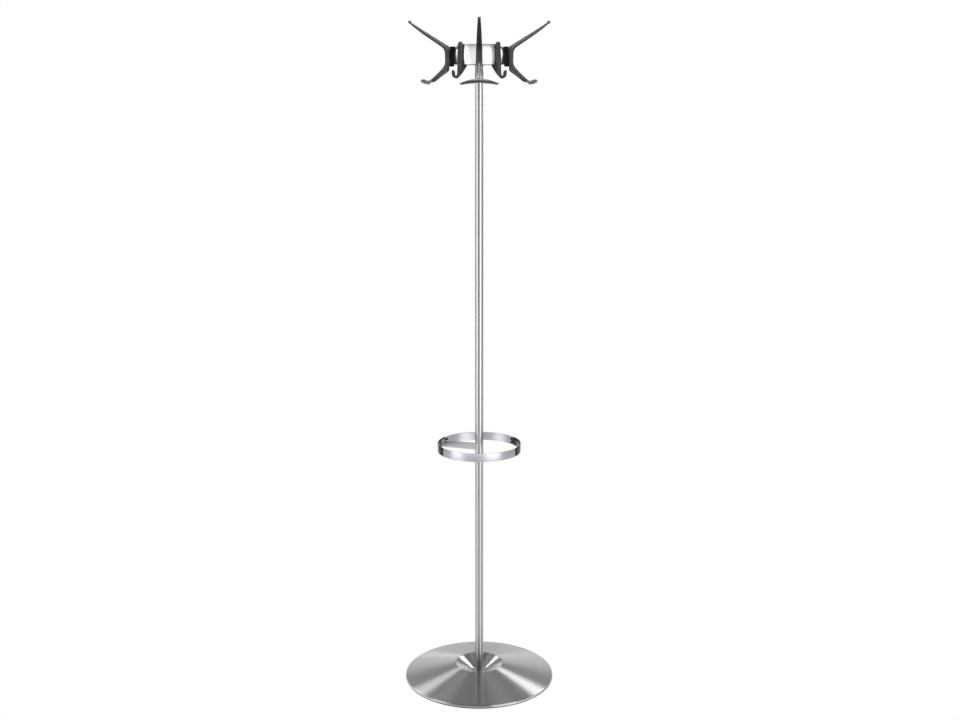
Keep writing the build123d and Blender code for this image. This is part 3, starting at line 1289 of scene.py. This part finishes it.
@dataclass
class LargeHooks:
    """Four hat-and-coat hooks with their spacer blocks."""

    head: Head
    angles: dict[str, float] = field(default_factory=lambda: {
        "front": -90.0, "right": 0.0, "rear": 90.0, "left": 180.0})
    block_width: float = 13.0
    block_outer: float = 73.5
    block_round: float = 1.6
    block_soft: float = 1.0
    ball_radius: float = 4.1
    wing_half_length: float = 48.3
    wing_inner: Point = (116.0, 125.0)      # radius at the middle and at the tips
    wing_outer: Point = (145.8, 128.0)
    wing_top: Point = (1593.4, 1581.3)      # height at the middle and at the tips
    wing_bottom: Point = (1583.0, 1579.6)
    wing_dip: float = 0.40                  # depth of the saddle, as a share of the thickness
    wing_square: float = 0.7                # under 1 makes the bar's section squarer than round

    # back radius and height, front radius and height, half width, corner share, channel, groove
    arm: tuple[tuple[float, ...], ...] = (
        (172.6, 1733.6, 174.0, 1730.2, 2.4, 0.95, 0.0, 0.0),
        (170.3, 1732.3, 172.4, 1727.8, 3.3, 0.92, 0.0, 0.0),
        (166.0, 1729.5, 168.3, 1724.2, 3.8, 0.80, 0.0, 0.0),
        (153.0, 1721.0, 156.3, 1714.5, 4.6, 0.62, 0.0, 0.0),
        (133.0, 1708.3, 138.0, 1700.8, 5.6, 0.50, 0.0, 0.3),
        (112.0, 1695.4, 117.8, 1687.4, 6.4, 0.46, 0.0, 0.5),
        (94.0, 1684.6, 100.6, 1675.9, 6.9, 0.44, 0.0, 0.6),
        (81.5, 1677.0, 89.6, 1667.6, 7.4, 0.62, 0.2, 0.8),
        (74.6, 1671.6, 86.3, 1660.4, 7.6, 0.70, 0.5, 1.0),
        (73.6, 1658.0, 85.6, 1653.5, 7.8, 0.74, 0.9, 1.1),
        (73.6, 1646.0, 85.1, 1645.4, 8.1, 0.74, 1.2, 1.2),
        (73.6, 1634.0, 85.0, 1636.6, 8.4, 0.74, 1.6, 1.2),
        (73.6, 1623.0, 86.4, 1628.8, 8.8, 0.72, 2.2, 1.2),
        (75.0, 1613.6, 90.6, 1621.9, 9.2, 0.66, 2.6, 1.3),
        (81.5, 1607.8, 98.0, 1613.0, 9.6, 0.60, 2.8, 1.3),
        (90.0, 1601.8, 107.0, 1604.0, 9.9, 0.58, 2.8, 1.2),
        (98.5, 1595.4, 115.2, 1596.6, 10.0, 0.56, 2.3, 1.0),
        (107.0, 1588.6, 121.0, 1591.6, 10.0, 0.50, 1.2, 0.6),
        (114.0, 1585.0, 126.5, 1589.6, 9.4, 0.60, 0.3, 0.0),
    )

    def ball(self) -> Piece:
        """Make the knob at the prong's end.

        Returns:
            The closed shell.
        """
        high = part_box("coat_hook_right")[1]
        radius, rows, count = self.ball_radius, 16, 24
        out, up = high.x / MM - radius, high.z / MM - radius
        rings = []
        for row in range(1, rows):
            lean = math.pi * row / rows
            turns = [math.tau * step / count for step in range(count)]
            rings.append([Vector((out - radius * math.cos(lean),
                                  radius * math.sin(lean) * math.cos(turn),
                                  up + radius * math.sin(lean) * math.sin(turn)))
                          for turn in turns])
        return lofted("knob", rings)

    def wing_ring(self, share: float) -> list[Vector]:
        """Draw one ring of the crescent bar.

        Args:
            share: Its place, from -1 at one tip over 0 in the middle to 1 at the other.

        Returns:
            The ring's points.
        """
        fall = share ** 2
        inner, outer, top, bottom = (middle + (tip - middle) * fall for middle, tip in (
            self.wing_inner, self.wing_outer, self.wing_top, self.wing_bottom))
        ring, count = [], 32
        for step in range(count):
            turn = math.tau * step / count
            ahead, rise = (math.copysign(abs(part) ** self.wing_square, part)
                           for part in (math.cos(turn), math.sin(turn)))
            across = 0.5 + 0.5 * ahead
            lift = min(max((across - 0.30) / 0.45, 0.0), 1.0)
            dip = self.wing_dip * (1 - lift * lift * (3 - 2 * lift)) * (1 - fall)
            upper = top - (top - bottom) * dip
            lower = bottom + (top - bottom) * 0.22 * (1 - across) ** 2
            height = (upper + lower) / 2 + (upper - lower) / 2 * rise
            ring.append(Vector((inner + (outer - inner) * across, self.wing_half_length * share,
                                height)))
        return ring

    def wing(self) -> Piece:
        """Make the crescent bar: a saddle with a raised outer lip and thin tips."""
        return lofted("wing", [self.wing_ring(row / 24) for row in range(-24, 25)])

    def block_ring(self, height: float, inset: float) -> list[Vector]:
        """Draw one ring of the spacer block, hollowed at the back to sit on the drum.

        Args:
            height: The ring's height.
            inset: How much smaller it is all round.

        Returns:
            The ring's points.
        """
        half, outer = self.block_width / 2 - inset, self.block_outer - 0.05 - inset
        lowest = height <= self.head.bottom
        barrel = self.head.middle_radius if lowest else self.head.barrel(height)
        sides = [half * (1 - step / 4) for step in range(9)]
        ring = [Vector((math.sqrt(barrel ** 2 - side ** 2) + 0.08, side, height)) for side in sides]
        for sign, start in ((-1, -90), (1, 0)):
            for step in range(6):
                turn = math.radians(start + 18 * step)
                across = outer + self.block_round * (math.cos(turn) - 1)
                side = sign * (half - self.block_round) + self.block_round * math.sin(turn)
                ring.append(Vector((across, side, height)))
        return ring

    def block(self) -> Piece:
        """Make the spacer block, with soft ends.

        Returns:
            The new object.
        """
        low, high = (corner.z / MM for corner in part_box("hook_block_right"))
        turns = [math.radians(15 * step) for step in range(7)]
        soft = [(self.block_soft * (1 - math.cos(turn)), self.block_soft * (1 - math.sin(turn)))
                for turn in turns]
        rows = [(low + rise, inset) for rise, inset in soft]
        rows += [(low + (high - low) * step / 12, 0.0) for step in range(2, 11)]
        rows += [(high - rise, inset) for rise, inset in reversed(soft)]
        return lofted("block_form", [self.block_ring(height, inset) for height, inset in rows])

    def build(self) -> None:
        """Make one hook and one block, and set four of each round the drum."""
        charcoal = MouldedPlastic("satin_black_hook", colour=(0.022, 0.022, 0.024, 1.0),
                                  roughness=0.28, specular=0.34).material()
        black = MouldedPlastic("black_block", colour=(0.006, 0.006, 0.0065, 1.0),
                               rubbed=(0.02, 0.02, 0.022, 1.0), roughness=0.55, specular=0.22,
                               pebble=1200.0, bump=0.2).material()
        hook = fused("hook_form", [arm_shell(self.arm), self.ball(), self.wing()], 0.55, 14)
        set_round(self.angles, ("coat_hook", hook, charcoal, "satin_black_hook"),
                  ("hook_block", self.block(), black, "black_block"))


@dataclass
class SmallHooks:
    """Four slim J hooks that stand between the large ones."""

    head: Head
    angles: dict[str, float] = field(default_factory=lambda: {
        "front_right": -45.0, "rear_right": 45.0, "rear_left": 135.0, "front_left": -135.0})

    # back radius and height, front radius and height, half width, corner share, channel, groove
    arm: tuple[tuple[float, ...], ...] = (
        (62.2, 1681.2, 66.0, 1682.0, 4.8, 0.9, 0.0, 0.0),
        (61.6, 1677.0, 67.9, 1678.0, 7.0, 0.7, 0.0, 0.0),
        (62.4, 1668.0, 68.3, 1668.0, 7.4, 0.55, 0.0, 0.0),
        (62.9, 1652.0, 68.8, 1652.0, 7.5, 0.55, 0.3, 0.0),
        (62.4, 1638.0, 69.7, 1638.0, 7.3, 0.55, 0.5, 0.0),
        (62.5, 1624.0, 71.5, 1625.5, 6.0, 0.55, 0.5, 0.0),
        (65.5, 1612.0, 73.0, 1614.0, 4.8, 0.6, 0.3, 0.0),
        (69.0, 1604.0, 74.3, 1607.0, 3.8, 0.7, 0.0, 0.0),
        (74.4, 1597.6, 77.1, 1602.6, 3.2, 0.8, 0.0, 0.0),
        (81.6, 1594.9, 81.2, 1600.6, 3.1, 0.8, 0.0, 0.0),
        (89.6, 1597.6, 85.5, 1602.4, 3.1, 0.8, 0.0, 0.0),
        (93.4, 1604.6, 87.5, 1606.4, 3.1, 0.8, 0.0, 0.0),
        (93.7, 1611.6, 87.8, 1611.6, 3.1, 0.85, 0.0, 0.0),
        (92.4, 1614.6, 89.2, 1614.6, 2.0, 0.9, 0.0, 0.0),
    )

    def fin(self) -> Piece:
        """Make the rib that carries the hook's load back under the drum.

        Returns:
            The closed shell.
        """
        under = self.head.bottom - 0.15
        rows = [(44.2, 1627.0, under, 2.2), (50.0, 1621.0, under, 3.2), (58.0, 1613.4, under, 4.2),
                (63.6, 1608.2, under, 4.6), (66.5, 1605.0, 1616.0, 4.2),
                (71.0, 1601.2, 1606.5, 3.2)]        # radius, low, high, half width
        rings = []
        for radius, low, high, half in catmull(rows, 3):
            soft = min(1.2, (high - low) / 2.2)
            outline = rounded_box((-half, half), (low, high), soft, steps=4, guard=0.02)
            rings.append([Vector((radius, across, height)) for across, height in outline])
        return lofted("fin", rings)

    def build(self) -> None:
        """Make one hook and set four round the drum."""
        charcoal = MouldedPlastic("satin_black_small", colour=(0.028, 0.028, 0.031, 1.0),
                                  roughness=0.30, specular=0.36).material()
        hook = fused("small_form", [arm_shell(self.arm), self.fin()], 0.5, 10)
        set_round(self.angles, ("small_hook", hook, charcoal, "satin_black_hook"))


def dress_fasteners(frame: dict) -> None:
    """Give the bolts, plugs, washers and screws their zinc plate.

    Args:
        frame: What the frame holds.
    """
    zinc = ZincPlate("zinc_steel").material()
    for node in ("base_bolt", "base_washer", "pole_coupler", "pole_foot_plug", "pole_top_plug",
                 "head_washer", "head_bolt", "ring_joint_screws", "ring_tab_screws",
                 "coat_hook_screws", "small_hook_screws"):
        dress_node(frame, node, zinc)


# ---------------------------------------------------------------- studio
@dataclass(frozen=True)
class Softbox:
    """A soft panel light that faces a point on the pole's axis."""

    name: str
    azimuth: float      # degrees from the camera's side, growing to the right
    elevation: float
    distance: float
    width: float
    height: float
    radiance: float
    aim_height: float
    only: tuple[str, ...] = ()      # how the names of the only pieces that it lights start

    def place(self) -> None:
        """Put the light in the scene, and choose what it lights."""
        light = bpy.data.lights.new(self.name, "AREA")
        light.shape = "RECTANGLE"
        light.size, light.size_y = self.width, self.height
        light.energy = self.radiance * math.pi * self.width * self.height
        holder = placed(self.name, light)
        turn, rise = math.radians(self.azimuth), math.radians(self.elevation)
        away = Vector((math.sin(turn) * math.cos(rise), -math.cos(turn) * math.cos(rise),
                       math.sin(rise)))
        holder.location = Vector((0, 0, self.aim_height)) + away * self.distance
        holder.rotation_mode = "QUATERNION"
        holder.rotation_quaternion = away.to_track_quat("Z", "Y")
        holder.visible_camera = False
        if self.only:
            lit = bpy.data.collections.new(f"{self.name}_lit")
            for piece in bpy.context.scene.objects:
                if piece.type == "MESH" and piece.name.startswith(self.only):
                    lit.objects.link(piece)
            holder.light_linking.receiver_collection = lit


@dataclass(frozen=True)
class Studio:
    """White floor and surroundings, uneven in what the pieces reflect, with lights and camera."""

    camera_distance: float = 3.278
    camera_height: float = 1.560
    camera_pitch: float = 11.72
    lens: float = 48.30
    side_shift: float = 0.00083
    floor_reach: float = 14.0
    floor_height: float = -0.0002
    floor_glow: float = 0.30
    pool_glow: float = 0.42                 # added under each front softbox
    pool_reach: Point = (11.0, 30.0)        # where a pool starts to fade and where it ends
    rear_glow: float = 0.8                  # added behind the rack
    rear_reach: Point = (138.0, 162.0)
    horizon: Point = (0.10, 0.42)           # how far up the level light turns into the upper one
    boxes: tuple[Softbox, ...] = (
        Softbox("front_left", -61.0, 4.0, 2.8, 1.3, 2.6, 1.35, 1.0),
        Softbox("front_right", 38.0, 4.0, 2.8, 1.9, 2.6, 1.30, 1.0),
        Softbox("back_left", -129.0, 40.0, 3.0, 0.66, 0.75, 4.4, 0.05),
        Softbox("back_right", 129.0, 40.0, 3.0, 0.75, 0.75, 7.2, 0.05),
        Softbox("fill", -8.0, 6.0, 2.6, 3.6, 2.4, 0.6, 1.2,
                ("drum_shell", "ring_front", "ring_bar")),
        Softbox("key", 0.0, 42.0, 2.0, 2.0, 1.6, 10.0, 1.65, ("coat_hook", "small_hook")),
        Softbox("overhead", 0.0, 90.0, 0.70, 0.9, 0.9, 11.0, 1.7, ("coat_hook",)),
    )

    def floor_light(self, wiring: Wiring) -> Socket:
        """Wire how brightly the floor glows: pools under the front softboxes and a bright rear.

        Args:
            wiring: The floor material's wiring.

        Returns:
            The glow's socket.
        """
        place = wiring.node("TexCoord").outputs["Object"]
        x, y, _ = wiring.node("SeparateXYZ", {0: place}).outputs
        turn = wiring.sums("ARCTAN2", x, wiring.times(y, -1.0))
        glow: Feed = self.floor_glow
        for box in self.boxes[:2]:
            aside = wiring.sums("SUBTRACT", turn, math.radians(box.azimuth))
            pool = wiring.spread(wiring.sums("ABSOLUTE", aside),
                                 *map(math.radians, self.pool_reach), self.pool_glow, 0.0)
            glow = wiring.plus(glow, pool)
        rear = wiring.spread(wiring.sums("ABSOLUTE", turn),
                             *map(math.radians, self.rear_reach), 0.0, self.rear_glow)
        return wiring.plus(glow, rear)

    def floor(self) -> None:
        """Lay the floor, which the camera sees as plain white."""
        reach, height = self.floor_reach / MM, self.floor_height / MM
        corners = [Vector((x * reach, y * reach, height))
                   for x, y in ((-1, -1), (1, -1), (1, 1), (-1, 1))]
        floor = new_piece("floor", corners, [(0, 1, 2, 3)])
        paper = Surface("pale_floor")
        paper.feed(paper.shader, {"Base Color": grey(0.5), "Roughness": 0.9,
                                  "Specular IOR Level": 0.0})
        glow = paper.glow("Emission", self.floor_light(paper))
        lit = paper.node("AddShader", {0: paper.shader.outputs[0], 1: glow}).outputs[0]
        paper.feed(paper.tree.nodes["Material Output"],
                   {"Surface": paper.white_to_camera("Emission", lit)})
        floor.data.materials.append(paper.material)

    def surroundings(self) -> None:
        """Light the room: brightest low behind the rack, dim above; white to the camera."""
        world = bpy.data.worlds.new("studio")
        bpy.context.scene.world = world
        world.use_nodes = True
        wiring = Wiring(world.node_tree)
        wiring.tree.nodes.clear()
        way = wiring.node("SeparateXYZ", {0: wiring.node("TexCoord").outputs["Generated"]})
        _, back, up = way.outputs
        level = wiring.spread(back, 0.80, 0.98, 0.42, 1.5)
        above = wiring.spread(back, -0.5, 0.5, 0.02, 0.25)
        strength = wiring.spread(up, *self.horizon, level, above)
        room = wiring.glow("Background", strength)
        wiring.node("OutputWorld", {"Surface": wiring.white_to_camera("Background", room)})

    def camera(self) -> None:
        """Set the camera at its height and pitch."""
        data = bpy.data.cameras.new("camera")
        data.lens = self.lens
        data.sensor_width = 36.0
        data.shift_x = self.side_shift
        holder = placed("camera", data)
        holder.location = (0, -self.camera_distance, self.camera_height)
        holder.rotation_euler = (math.radians(90 - self.camera_pitch), 0, 0)
        bpy.context.scene.camera = holder

    def build(self) -> None:
        """Set up the whole studio."""
        self.floor()
        self.surroundings()
        for box in self.boxes:
            box.place()
        self.camera()
        bpy.context.scene.view_settings.view_transform = "Standard"


def main() -> None:
    """Build the rack and its studio."""
    logging.basicConfig(level=logging.INFO, format="%(name)s %(message)s")
    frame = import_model()
    Foot(frame).build()
    Pole().build()
    UmbrellaRing().build()
    head = Head(frame)
    head.build()
    LargeHooks(head).build()
    SmallHooks(head).build()
    dress_fasteners(frame)
    Studio().build()


if __name__ == "__main__":
    main()
